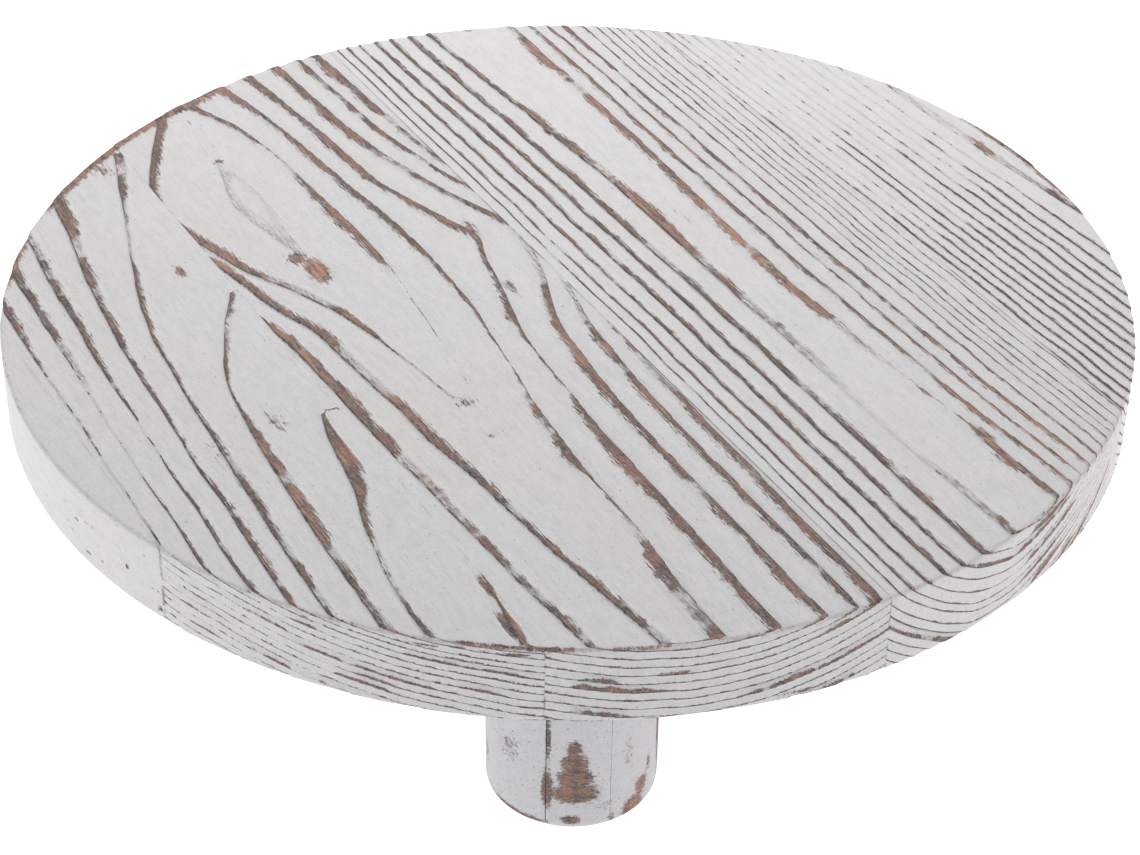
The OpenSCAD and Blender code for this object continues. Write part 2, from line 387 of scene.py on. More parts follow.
def wear_field(board, across, along, depth, angle, inset):
    """How bare, how orange and how thickly painted the wood is."""
    bare = np.zeros_like(across)
    warm = np.zeros_like(across)
    cover = np.full_like(across, board["cover"])
    on_top = 1 - smoothstep(0.3, 1.2, depth)
    for *spot, amount, orange in SPOTS:
        near = blob(along, across, *spot)
        bare = np.maximum(bare, amount * near * on_top)
        warm = np.maximum(warm, orange * smoothstep(0.2, 0.6, near))
    for stretch in WARM:
        warm = np.maximum(warm, 0.9 * blob(along, across, *stretch))
    turned = np.degrees(angle - TURN)
    from_edge = inset + depth * 0.8
    for middle, half, wide, amount in EDGE_WEAR:
        here = np.exp(-((degrees_past(middle, turned) / half) ** 4) - (from_edge / wide) ** 2)
        bare = np.maximum(bare, amount * here)
        warm = np.maximum(warm, 0.8 * here)
    for middle, low, long, high, amount in RIM_MARKS:
        arc = np.radians(degrees_past(middle, turned)) * TOP_R / MM
        here = blob(arc, depth, 0, low, long, high)
        bare = np.maximum(bare, amount * here * smoothstep(2.5, 1.0, inset))
    low_edge = np.exp(-(((TOP_T / MM - depth) / 1.2) ** 2))
    low_edge = low_edge * (0.45 + 0.35 * lattice_noise(8, np.degrees(angle) / 7, depth * 0))
    bare = np.maximum(np.maximum(bare, low_edge), 0.42 * np.exp(-((from_edge / 1.7) ** 2)))
    for *stretch, amount in COVERED:
        cover = np.maximum(cover, amount * blob(along, across, *stretch) * on_top)
    # The far end of the right edge board, and the rim at the left, keep their paint
    ragged = along + 34 * lattice_noise(31, across / 3, along / 60)
    far_end = smoothstep(92, 104, across) * smoothstep(5, -25, ragged) * smoothstep(-150, -110, along)
    beside = smoothstep(88, 100, across) * smoothstep(25, 0, ragged)
    left_rim = np.exp(-((degrees_past(208, turned) / 17) ** 4)) * smoothstep(0.5, 2, depth)
    for kept, amount in ((far_end, 0.8), (beside, 0.45), (left_rim, 0.36)):
        cover = np.maximum(cover, amount * kept)
    return bare, warm, np.clip(cover, 0, 1)


# ------------------------------------------------------------------ modelling helpers


def leave_edit():
    bpy.ops.object.mode_set(mode="OBJECT")


def tidy_selection():
    """Leaves edit mode and deselects everything."""
    if bpy.context.object and bpy.context.object.mode != "OBJECT":
        leave_edit()
    bpy.ops.object.select_all(action="DESELECT")


def make_active(piece):
    tidy_selection()
    piece.select_set(True)
    bpy.context.view_layer.objects.active = piece


def vectors(mesh, name="co"):
    """A mesh's vertex coordinates, or one of its vector attributes, as rows of three numbers."""
    data = np.empty(len(mesh.vertices) * 3, np.float32)
    if name == "co":
        mesh.vertices.foreach_get("co", data)
    else:
        mesh.attributes[name].data.foreach_get("vector", data)
    return data.reshape(-1, 3).astype(float)


def write_vectors(mesh, name, rows):
    """Writes vertex coordinates, or a vector attribute, from rows of three numbers."""
    flat = np.ascontiguousarray(rows, np.float32).ravel()
    if name == "co":
        mesh.vertices.foreach_set("co", flat)
        mesh.update()
        return
    layer = mesh.attributes.get(name) or mesh.attributes.new(name, "FLOAT_VECTOR", "POINT")
    layer.data.foreach_set("vector", flat)


def edge_ends(mesh):
    """The two vertex numbers of each edge."""
    ends = np.empty(len(mesh.edges) * 2, np.int32)
    mesh.edges.foreach_get("vertices", ends)
    return ends.reshape(-1, 2)


def edge_places(mesh):
    """The places of the two ends of each edge."""
    return vectors(mesh)[edge_ends(mesh)]


def edit_parts(piece, kind, chosen):
    """Enters edit mode with only these vertices, edges or polygons selected, given as flags."""
    make_active(piece)
    mesh = piece.data
    kinds = ("vertices", "edges", "polygons")
    flags = {key: np.zeros(len(getattr(mesh, key)), bool) for key in kinds}
    flags[kind] = chosen
    if kind == "edges":
        flags["vertices"][edge_ends(mesh)[chosen].ravel()] = True
    bpy.context.tool_settings.mesh_select_mode = [key == kind for key in kinds]
    for key in kinds:
        getattr(mesh, key).foreach_set("select", flags[key])
    bpy.ops.object.mode_set(mode="EDIT")


def edit_all(piece):
    """Enters edit mode with everything selected."""
    make_active(piece)
    bpy.ops.object.mode_set(mode="EDIT")
    bpy.ops.mesh.select_all(action="SELECT")


def apply_modifier(piece, kind, **settings):
    """Adds a modifier to a piece and applies it."""
    make_active(piece)
    modifier = piece.modifiers.new(kind.title(), kind)
    for key, setting in settings.items():
        setattr(modifier, key, setting)
    bpy.ops.object.modifier_apply(modifier=modifier.name)


def sink(piece, depths, most):
    """Sinks a piece's surface along its normals by depths, from 0 to most, in metres."""
    group = piece.vertex_groups.new(name="Brushed")
    for index, weight in enumerate(np.clip(depths / most, 0, 1).tolist()):
        group.add((index,), weight, "REPLACE")
    apply_modifier(piece, "DISPLACE", direction="NORMAL", strength=-most, mid_level=0.0,
                   vertex_group=group.name)
    piece.vertex_groups.remove(piece.vertex_groups["Brushed"])


SHARP = math.radians(38)  # Edges that turn by more than this stay sharp when a piece is smoothed


def finish_piece(piece, name, node, material):
    """Names, smooths and paints a finished piece, hides the part it stands for and attaches it to the root
    body.
    """
    make_active(piece)
    piece.name = name
    piece.data.name = name
    bpy.ops.object.shade_smooth_by_angle(angle=SHARP)
    piece.data.materials.clear()
    piece.data.materials.append(material)
    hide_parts(node)
    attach(piece, "root")


# ------------------------------------------------------------------ boards


def rim_path(way, round_r):
    """Distance outwards and downwards along the rim, for a way of 0 at its top to 1 at its bottom."""
    quarter = math.pi / 2 * round_r
    run = way * (2 * quarter + TOP_T - 2 * round_r)
    first = np.clip(run, 0, quarter) / round_r
    straight = np.clip(run - quarter, 0, TOP_T - 2 * round_r)
    last = np.clip(run - quarter - (TOP_T - 2 * round_r), 0, quarter) / round_r
    outwards = round_r * (np.sin(first) + np.cos(last) - 1)
    downwards = round_r * (1 - np.cos(first)) + straight + round_r * np.sin(last)
    return outwards, downwards


def board_limits(name):
    """Offsets of a board's two sides across the grain. An edge board's outer side is its arc."""
    edges = (-TOP_R, *JOINTS, TOP_R)
    order = list(BOARDS).index(name)
    return edges[order], edges[order + 1]


NEAR = 1e-5  # How near a sheet's side or foot a point has to be to count as on it


def longest_half(near, far):
    """Half of a board's length where it is longest, from the offsets of its two sides."""
    return TOP_R if near < 0 < far else math.sqrt(TOP_R ** 2 - min(abs(near), abs(far)) ** 2)


def place_on_disc(name, sheet, round_r):
    """Turns a flat sheet's own coordinates into places across and along the grain, and below."""
    near, far = board_limits(name)
    u, v, way = sheet[:, 0], sheet[:, 1], -sheet[:, 2]
    outwards, downwards = rim_path(way, round_r)
    radius = TOP_R - round_r + outwards
    if near > -TOP_R and far < TOP_R:
        across = near + (far - near) * (u + 1) / 2
        along = -v * np.sqrt(np.maximum(radius ** 2 - across ** 2, 0))
    else:
        sign = 1 if far >= TOP_R else -1
        joint = near if sign > 0 else -far
        angle = v * np.arccos(joint / radius)
        part = (u * sign + 1) / 2
        along = -radius * np.sin(angle)
        across = sign * (joint + (radius * np.cos(angle) - joint) * part)
    return across, along, downwards


def board_sheet(name, columns, rows, levels, round_r):
    """An open sheet for a board's upper face and rim: a grid whose arc edges are drawn down."""
    near, far = board_limits(name)
    tidy_selection()
    bpy.ops.mesh.primitive_grid_add(x_subdivisions=columns, y_subdivisions=rows, size=2)
    piece = bpy.context.object
    mesh = piece.data
    ends = edge_places(mesh)
    if far >= TOP_R:
        arc = ends[:, :, 0] > 1 - NEAR
    elif near <= -TOP_R:
        arc = ends[:, :, 0] < -1 + NEAR
    else:
        arc = np.abs(ends[:, :, 1]) > 1 - NEAR
    edit_parts(piece, "edges", arc.all(axis=1))
    bpy.ops.mesh.extrude_region_move(TRANSFORM_OT_translate={"value": (0, 0, -1)})
    leave_edit()
    ends = edge_places(mesh)
    edit_parts(piece, "edges", np.abs(ends[:, 0, 2] - ends[:, 1, 2]) > 0.5)
    bpy.ops.mesh.subdivide(number_cuts=levels - 1)
    leave_edit()
    write_vectors(mesh, "sheet", vectors(mesh))
    write_vectors(mesh, "co", to_frame(*place_on_disc(name, vectors(mesh), round_r)))
    edit_all(piece)
    bpy.ops.mesh.remove_doubles(threshold=2 * TINY)
    bpy.ops.mesh.normals_make_consistent(inside=False)
    leave_edit()
    if piece.data.polygons[0].normal.z < 0:
        edit_all(piece)
        bpy.ops.mesh.flip_normals()
        leave_edit()
    return piece


def to_frame(across, along, below):
    """Places in the frame from offsets across and along the grain and below the upper face."""
    x = across * math.cos(TURN) + along * math.sin(TURN)
    y = across * math.sin(TURN) - along * math.cos(TURN)
    return np.stack([x, y, TOP_Z - below], axis=1)


def to_grain(places):
    """Offsets across and along the grain and below the upper face, in millimetres."""
    across = places[:, 0] * math.cos(TURN) + places[:, 1] * math.sin(TURN)
    along = places[:, 0] * math.sin(TURN) - places[:, 1] * math.cos(TURN)
    return across / MM, along / MM, (TOP_Z - places[:, 2]) / MM


def seam_distance(name, across, angle, depth):
    """Distance in millimetres from the nearest joint, or from the check in the rim."""
    near, far = board_limits(name)
    seam = np.full_like(across, FAR)
    for joint in (near, far):
        if abs(joint) < TOP_R:
            seam = np.minimum(seam, np.abs(across - joint / MM))
    if name == "top_board_centre":
        degrees = np.degrees(angle - TURN) % 360
        arc = degrees - np.interp(depth, [c[1] for c in CHECK], [c[0] for c in CHECK])
        gap = np.abs(np.radians(arc)) * TOP_R / MM
        seam = np.minimum(seam, np.where(depth > CHECK[0][1], gap, FAR))
    return seam


def grain_attributes(piece, name, kept=0):
    """Stores the rings and the wear on a board's vertices, and returns how far each is brushed.

    The first vertices, as many as kept, hold on to what they already carry.
    """
    board = BOARDS[name]
    places = vectors(piece.data)
    across, along, depth = to_grain(places)
    angle = np.arctan2(places[:, 1], places[:, 0])
    inset = (TOP_R - np.hypot(places[:, 0], places[:, 1])) / MM
    ring, gap, ridge = ring_field(board, across, along, np.maximum(depth, 0))
    bare, warm, cover = wear_field(board, across, along, depth, angle, inset)
    seam = seam_distance(name, across, angle, depth)
    brushed = relief_depth(ring, gap, ridge, cover)
    for label, rows in (("grain", (ring, gap, ridge)), ("wear", (bare, warm, cover)),
                        ("seam", (seam, inset, depth))):
        rows = np.stack(rows, axis=1)
        if label in piece.data.attributes:
            rows[:kept] = vectors(piece.data, label)[:kept]
        write_vectors(piece.data, label, rows)
    open_joint = 0.08 + 0.22 * smoothstep(0.5, 2.0, depth)
    brushed = np.maximum(brushed, open_joint * smoothstep(0.55, 0.15, seam))
    return np.clip(brushed + 0.05 * lattice_noise(9, along / 8, across / 4), 0, 1)


def open_edges(mesh):
    """One flag for each edge that has a single face."""
    used = np.empty(len(mesh.loops), np.int32)
    mesh.loops.foreach_get("edge_index", used)
    return np.bincount(used, minlength=len(mesh.edges)) < 2


def on_side(name, place, side):
    """Flags for the places of a sheet that lie on the joint at this side of a board."""
    near, far = board_limits(name)
    on_edge = place[:, 0] * side > 1 - 10 * NEAR
    if near > -TOP_R and far < TOP_R:
        return on_edge
    return (on_edge & (place[:, 2] > -10 * NEAR)) | (np.abs(place[:, 1]) > 1 - 10 * NEAR)


def close_board(piece, name, cell):
    """Adds a board's joint sides and its underside, and cuts the underside into cells."""
    mesh = piece.data
    near, far = board_limits(name)
    for side, joint in ((-1, near), (1, far)):
        if abs(joint) >= TOP_R:
            continue
        sheet = vectors(mesh, "sheet")
        level = vectors(mesh)[:, 1]
        low = np.flatnonzero(on_side(name, sheet, side) & (sheet[:, 2] < -1 + 10 * NEAR))
        corners = np.zeros(len(mesh.vertices), bool)
        corners[[low[level[low].argmin()], low[level[low].argmax()]]] = True
        edit_parts(piece, "vertices", corners)
        bpy.ops.mesh.edge_face_add()
        leave_edit()
        beside = on_side(name, vectors(mesh, "sheet"), side)[edge_ends(mesh)].all(axis=1)
        edit_parts(piece, "edges", open_edges(mesh) & beside)
        bpy.ops.mesh.edge_face_add()
        leave_edit()
    edit_parts(piece, "edges", open_edges(mesh))
    bpy.ops.mesh.edge_face_add()
    bpy.ops.mesh.hide(unselected=True)
    longest = longest_half(near, far)
    across = (math.cos(TURN), math.sin(TURN), 0)
    along = (math.sin(TURN), -math.cos(TURN), 0)
    for direction, step, low, high in ((across, cell, near, far), (along, 3 * cell, -longest, longest)):
        for k in range(math.ceil(low / step), math.ceil(high / step)):
            place = [part * k * step for part in direction]
            bpy.ops.mesh.select_all(action="SELECT")
            bpy.ops.mesh.bisect(plane_co=place, plane_no=direction, threshold=TINY / 10)
    bpy.ops.mesh.reveal()
    bpy.ops.mesh.select_all(action="SELECT")
    bpy.ops.mesh.normals_make_consistent(inside=False)
    leave_edit()


def build_board(name, settings, material):
    """One board: drawn as a sheet, brushed along its grain, then closed below."""
    near, far = board_limits(name)
    length = 2 * longest_half(near, far)
    columns = max(int((far - near) / settings.across_step), 12)
    rows = int(length / settings.along_step)
    levels = int(TOP_T / settings.rim_step)
    piece = board_sheet(name, columns, rows, levels, settings.rim_round)
    brushed = grain_attributes(piece, name)
    sink(piece, brushed * settings.relief, settings.relief)
    drawn = len(piece.data.vertices)
    close_board(piece, name, settings.under_cell)
    grain_attributes(piece, name, drawn)
    piece.data.attributes.remove(piece.data.attributes["sheet"])
    finish_piece(piece, name.replace("top_", "painted_"), name, material)


# ------------------------------------------------------------------ materials


class Term:
    """A value in a shader tree. Arithmetic on it makes the Math node that does the sum."""

    def __init__(self, socket):
        self.socket = socket

    def __add__(self, other):
        return maths("ADD", self, other)

    def __radd__(self, other):
        return maths("ADD", other, self)

    def __sub__(self, other):
        return maths("SUBTRACT", self, other)

    def __rsub__(self, other):
        return maths("SUBTRACT", other, self)

    def __mul__(self, other):
        return maths("MULTIPLY", self, other)


def feed(node, terms):
    """Links a node's inputs to terms, or sets them to numbers or colours, by name or by number."""
    for key, term in terms.items():
        if isinstance(term, Term):
            node.id_data.links.new(term.socket, node.inputs[key])
        else:
            node.inputs[key].default_value = term


def add_node(kind, terms, **settings):
    """Adds a node to the tree that its terms are in."""
    tree = next(term.socket.id_data for term in terms.values() if isinstance(term, Term))
    node = tree.nodes.new(kind)
    for key, setting in settings.items():
        setattr(node, key, setting)
    feed(node, terms)
    return node


def maths(operation, *terms):
    return Term(add_node("ShaderNodeMath", dict(enumerate(terms)), operation=operation).outputs[0])


def larger(first, second):
    return maths("MAXIMUM", first, second)


def ramp(value, low, high, out_low=0.0, out_high=1.0):
    """A smooth step of a value, from out_low below low to out_high above high."""
    terms = {"Value": value, "From Min": low, "From Max": high, "To Min": out_low, "To Max": out_high}
    return Term(add_node("ShaderNodeMapRange", terms, interpolation_type="SMOOTHSTEP").outputs["Result"])


def blend(factor, first, second, mode="MIX"):
    """A mix of two colours. A Mix node's colours are its inputs 6 and 7 and its output 2."""
    terms = {0: factor, 6: first, 7: second}
    return Term(add_node("ShaderNodeMix", terms, data_type="RGBA", blend_type=mode).outputs[2])


def stretched(place, stretch):
    return Term(add_node("ShaderNodeVectorMath", {0: place, 1: stretch}, operation="MULTIPLY").outputs[0])


def noise(place, stretch, detail=2.0, rough=0.5):
    """Noise at a place in millimetres, with so many features per millimetre along each axis."""
    terms = {"Vector": stretched(place, stretch), "Scale": 1.0, "Detail": detail, "Roughness": rough}
    return Term(add_node("ShaderNodeTexNoise", terms).outputs["Fac"])


def split(vector):
    """The three parts of a vector."""
    return [Term(part) for part in add_node("ShaderNodeSeparateXYZ", {0: vector}).outputs]


def join(*parts):
    return Term(add_node("ShaderNodeCombineXYZ", dict(enumerate(parts))).outputs[0])


def object_place(tree):
    """Object coordinates in millimetres."""
    return stretched(Term(tree.nodes.new("ShaderNodeTexCoord").outputs["Object"]), (1 / MM,) * 3)


def attribute(tree, name):
    node = tree.nodes.new("ShaderNodeAttribute")
    node.attribute_name = name
    return Term(node.outputs["Vector"])


FLOAT, COLOUR, VECTOR = "NodeSocketFloat", "NodeSocketColor", "NodeSocketVector"


def new_group(name, inputs, outputs):
    """A node group with named sockets; returns its tree, its inputs as terms and its output node."""
    tree = bpy.data.node_groups.new(name, "ShaderNodeTree")
    for label, kind, start in inputs:
        socket = tree.interface.new_socket(label, in_out="INPUT", socket_type=kind)
        if start is not None:
            socket.default_value = start
    for label, kind in outputs:
        tree.interface.new_socket(label, in_out="OUTPUT", socket_type=kind)
    given = tree.nodes.new("NodeGroupInput")
    made = tree.nodes.new("NodeGroupOutput")
    return tree, {label: Term(given.outputs[label]) for label, _, _ in inputs}, made


def use_group(tree, name, make, **terms):
    """A node for the group of this name, which is made the first time; returns its outputs as terms."""
    node = tree.nodes.new("ShaderNodeGroup")
    node.node_tree = bpy.data.node_groups.get(name) or make(name)
    feed(node, {label.replace("_", " "): term for label, term in terms.items()})
    return {socket.name: Term(socket) for socket in node.outputs}


def worn_ridges(name):
    """Group: where wear has bared the ridges of the grain, from the rings stored on the mesh."""
    tree, given, made = new_group(
        name,
        [("Place", VECTOR, None), ("Grain", VECTOR, None), ("Wear", VECTOR, None), ("Depth", FLOAT, 0.0),
         ("Ragged", FLOAT, 0.9), ("Hairs", FLOAT, 0.4), ("Breaks", FLOAT, 0.42), ("Dashes", FLOAT, 1.0)],
        [("Bare", FLOAT), ("Steep Edge", FLOAT), ("Foot", FLOAT), ("Fibre", FLOAT), ("Along", FLOAT),
         ("Faded", FLOAT), ("Thin", FLOAT)])
    ring, gap, ridge = split(given["Grain"])
    worn, _, cover = split(given["Wear"])
    sideways, lengthways, _ = split(given["Place"])
    on_rim = ramp(given["Depth"], 0.3, 1.2)

    # Distance to the ridge ahead and from the one behind, and a number that differs for each ring
    part = maths("FRACT", ring)
    ahead = (1.0 - part) * gap
    behind = part * gap
    number = maths("FLOOR", ring) * 7.31
    at_ridge = ramp(ahead, 0.0, 0.08)

    # Long fibres, short hairs and ragged blots, each noise stretched along the grain
    fibre = noise(given["Place"], (2.6, 0.11, 2.6), 3.0, 0.6)
    hair = noise(given["Place"], (4.6, 0.34, 4.6), 2.0, 0.6)
    rag = noise(given["Place"], (0.75, 0.4, 0.75), 4.0, 0.65)

    # The bare band beside a ridge: its width swells and thins, and its side is combed out
    line = join(number, lengthways * 0.055, sideways * (0.02 + on_rim * 0.16))
    along = noise(line, (1.0, 1.0, 1.0), 3.0, 0.6)
    width = ridge * ramp(along, 0.3, 0.68, 0.75, 1.3) * ramp(ridge, 0.4, 1.8, 0.66, 1.0)
    comb = (fibre - 0.5) * 2.0 + (hair - 0.5) * 2.0 + (rag - 0.5) * 0.8
    reach = maths("MINIMUM", ridge + ramp(ridge, 0.5, 1.5, 0.05, 0.4), 2.3)
    comb = comb * given["Ragged"] * reach * (1.0 - on_rim * 0.62)
    distance = ahead + comb
    soft = 0.03 + maths("MINIMUM", ridge, 1.0) * 0.07
    band = ramp(distance, width - soft, width + soft, 1.0, 0.0) * at_ridge

    # Stretches where the band stays bare, and scratches that cross the painted stretches
    limit = given["Breaks"] + cover * 0.45
    strength = along + (ramp(ridge, 0.4, 1.6, 0.15, 0.09) + comb * 0.06)
    kept = ramp(strength, limit, limit + 0.12)
    scratch = ramp(fibre * 0.55 + hair * 0.45, 0.47, 0.55, 0.0, 0.92)
    scratch = scratch * ramp(rag, 0.38, 0.58, 0.25, 1.0) * ramp(ridge, 0.2, 1.6, 0.35, 1.0)
    band = band * larger(kept, scratch * ramp(cover, 0.5, 1.0, 1.0, 0.25))

    # A thin line of dashes on each ridge, which shows where the band is missing
    step = join(number, lengthways * ramp(on_rim, 0.0, 1.0, 0.13, 0.3), sideways * (on_rim * 0.4))
    step = noise(step, (1.0, 1.0, 1.0), 4.0, 0.7)
    shaken = ahead + (rag - 0.5) * ramp(on_rim, 0.0, 1.0, 0.5, 1.1)
    slim = ramp(on_rim, 0.0, 1.0, 0.26, 0.38) + (along - 0.5) * (on_rim * 1.3)
    rarer = ramp(on_rim, 0.0, 1.0, 0.4, 0.43) + cover * 0.21
    dashes = ramp(shaken, slim, slim + 0.14, 1.0, 0.0) * ramp(step, rarer, rarer + 0.06)
    band = larger(band, dashes * given["Dashes"])

    # Hair scratches beside a faded band
    smear = ramp(distance - width, 0.2, 1.1, 0.85, 0.0) * (1.0 - kept)
    smear = smear * ramp(fibre * 0.45 + hair * 0.55, 0.49, 0.54) * ramp(ridge, 0.9, 1.7)
    smear = smear * at_ridge * ramp(cover, 0.5, 1.0, 1.0, 0.2)
    band = larger(band, smear)

    # Patches of wear away from the ridges, and flecks of paint left on bare wood
    patch = ramp(worn + (rag - 0.5) * 0.8 + (fibre - 0.5) * 0.9 + (hair - 0.5) * 0.5, 0.5, 0.66)
    flecks = ramp(fibre * 0.5 + hair * 0.5, 0.55, 0.605) * given["Hairs"]
    # Foot: where the paint darkens just past each steep side, painted shade mixed with dirt
    foot = ramp(behind, 0.0, 0.28, 1.0, 0.0) * ramp(kept, 0.0, 1.0, 0.35, 1.0)
    faded = larger(1.0 - kept, ramp(ridge, 0.35, 0.95, 0.8, 0.0))
    feed(made, {
        "Bare": larger(band, patch) * (1.0 - flecks),
        # Steep Edge darkens bare wood at the crisp edge of each ridge: painted shade, partly dirt
        "Steep Edge": ramp(ahead, 0.1, 0.6, 1.0, 0.0) * given["Dashes"],
        "Foot": foot * given["Dashes"],
        "Fibre": fibre,
        "Along": along,
        "Faded": faded * (1.0 - patch),
        "Thin": ramp(distance - width, 0.0, 0.8, 1.0, 0.0) * larger(kept, 0.3),
    })
    return tree


def painted_wood(name):
    """Group: colour, roughness and fine height of painted wood, from how bare it is."""
    tree, given, made = new_group(
        name,
        [("Place", VECTOR, None), ("Bare", FLOAT, 0.0), ("Steep Edge", FLOAT, 0.0), ("Foot", FLOAT, 0.0),
         ("Fibre", FLOAT, 0.5), ("Along", FLOAT, 0.5), ("Faded", FLOAT, 0.0), ("Thin", FLOAT, 0.0),
         ("Warm", FLOAT, 0.0), ("Seam", FLOAT, FAR), ("Open", FLOAT, 1.0),
         ("Grime", FLOAT, 0.4), ("Paint", COLOUR, None), ("Wood", COLOUR, None),
         ("Warm Wood", COLOUR, None), ("Dark Wood", COLOUR, None)],
        [("Colour", COLOUR), ("Roughness", FLOAT), ("Height", FLOAT)])
    bare, fibre, dark = given["Bare"], given["Fibre"], given["Dark Wood"]
    cloud = noise(given["Place"], (0.03, 0.02, 0.03), 3.0)
    mottle = noise(given["Place"], (0.5, 0.16, 0.5), 4.0, 0.6)
    weave = noise(given["Place"], (1.1, 2.4, 1.1), 2.0, 0.6)
    speck = noise(given["Place"], (1.3, 0.75, 1.3), 2.0, 0.5)

    # Paint: creamy clouds, dull strokes, thin places beside bare wood, painted shade mixed with dirt at the
    # foot of each step, and specks
    creamy = blend(1.0, given["Paint"], (1.0, 0.985, 0.93, 1), "MULTIPLY")
    dull = blend(1.0, given["Paint"], (0.66, 0.66, 0.68, 1), "MULTIPLY")
    stained = blend(0.5, given["Paint"], given["Wood"])
    rare = 0.76 - given["Grime"] * 0.16
    paint = blend(ramp(cloud, 0.42, 0.7) * 0.5, given["Paint"], creamy)
    paint = blend(ramp(mottle, 0.35, 0.75, 0.0, 0.16) + ramp(weave, 0.4, 0.7, 0.0, 0.24), paint, dull)
    paint = blend(ramp(fibre, 0.56, 0.76) * 0.4, paint, dull)
    paint = blend(given["Thin"] * ramp(mottle, 0.4, 0.7, 0.0, 0.34), paint, stained)
    # Painted shade, partly dirt: the paint darkens at the foot of each step, where the brushed surface is
    # deepest
    paint = blend(given["Foot"] * given["Grime"], paint, dark)
    paint = blend(ramp(speck, rare, rare + 0.05) * 0.5, paint, dark)

    # Bare wood: grey-brown where it is barely worn, brown elsewhere, orange in places. Its steep edges are
    # darkened to grey-brown, partly painted shade of the step and partly dirt
    tone = given["Along"] * 0.6 + mottle * 0.4
    wood = blend(ramp(tone, 0.4, 0.56) * (1.0 - given["Faded"] * 0.8), dark, given["Wood"])
    warm = larger(given["Warm"], ramp(tone, 0.53, 0.66, 0.0, 0.7))
    wood = blend(warm * ramp(mottle, 0.36, 0.56), wood, given["Warm Wood"])
    grainy = ramp(fibre, 0.3, 0.66, 0.62, 1.25)
    wood = blend(1.0, wood, join(grainy, grainy, grainy), "MULTIPLY")
    # Painted shade, partly dirt: bare wood darkens along the steep edge of each ridge
    wood = blend(given["Steep Edge"] * 0.85, wood, dark)

    colour = blend(bare * ramp(weave, 0.3, 0.62, 0.8, 1.0), paint, wood)
    seam = ramp(given["Seam"], 0.06, 0.26, 1.0, 0.0) * ramp(mottle, 0.44, 0.62, 0.05, 0.75)
    relief = fibre * ramp(bare, 0.0, 1.0, 0.45, 0.9) + bare * -0.6 + mottle * 0.4 + weave * 0.25
    feed(made, {
        "Colour": blend(seam * given["Open"], colour, dark),
        "Roughness": ramp(bare, 0.0, 1.0, 0.56, 0.72) + (mottle - 0.5) * 0.16,
        "Height": relief,
    })
    return tree


def grain_place(name):
    """Group: object coordinates in millimetres, turned so that Y runs along the grain."""
    tree, _, made = new_group(name, [], [("Place", VECTOR)])
    here = Term(tree.nodes.new("ShaderNodeTexCoord").outputs["Object"])
    terms = {"Vector": here, "Rotation": (0, 0, -TURN), "Scale": (1 / MM,) * 3}
    feed(made, {"Place": Term(add_node("ShaderNodeMapping", terms, vector_type="POINT").outputs["Vector"])})
    return tree


def new_material(name, roughness):
    """A material with a plain Principled BSDF; returns it with its tree and shader."""
    material = bpy.data.materials.new(name)
    material.use_nodes = True
    tree = material.node_tree
    shader = next(n for n in tree.nodes if n.type == "BSDF_PRINCIPLED")
    feed(shader, {"Roughness": roughness})
    return material, tree, shader


def bump(height, distance):
    """A normal from a height, which stands for a relief of this distance."""
    return Term(add_node("ShaderNodeBump", {"Height": height, "Distance": distance}).outputs["Normal"])


def worn_paint(name, colours, paint, on_leg, ragged, hairs, breaks, grime_and_shade):
    """Worn painted wood on a piece that carries the grain, wear and seam attributes."""
    material, tree, shader = new_material(name, 0.6)
    if on_leg:
        place = attribute(tree, "leg_place")
    else:
        place = use_group(tree, "Grain Place", grain_place)["Place"]
    wear = attribute(tree, "wear")
    seam, _, below = split(attribute(tree, "seam"))
    ridges = use_group(tree, "Worn Ridges", worn_ridges, Place=place, Grain=attribute(tree, "grain"),
                       Wear=wear, Depth=0.0 if on_leg else below, Ragged=ragged, Hairs=hairs,
                       Breaks=breaks, Dashes=0.0 if on_leg else 1.0)
    look = use_group(tree, "Painted Wood", painted_wood, Place=place, Bare=ridges["Bare"],
                     Steep_Edge=ridges["Steep Edge"], Foot=ridges["Foot"], Fibre=ridges["Fibre"],
                     Along=ridges["Along"], Faded=ridges["Faded"], Thin=ridges["Thin"],
                     Warm=split(wear)[1], Seam=seam,
                     Open=ramp(below, 0.3, 1.5, 1.0 if on_leg else 0.3, 0.75), Grime=grime_and_shade,
                     Paint=(*paint, 1), Wood=(*colours.wood, 1),
                     Warm_Wood=(*colours.warm_wood, 1), Dark_Wood=(*colours.dark_wood_and_shade, 1))
    feed(shader, {"Base Color": look["Colour"], "Roughness": look["Roughness"],
                  "Specular IOR Level": 0.35, "Normal": bump(look["Height"], 0.00028)})
    return material


# ------------------------------------------------------------------ legs

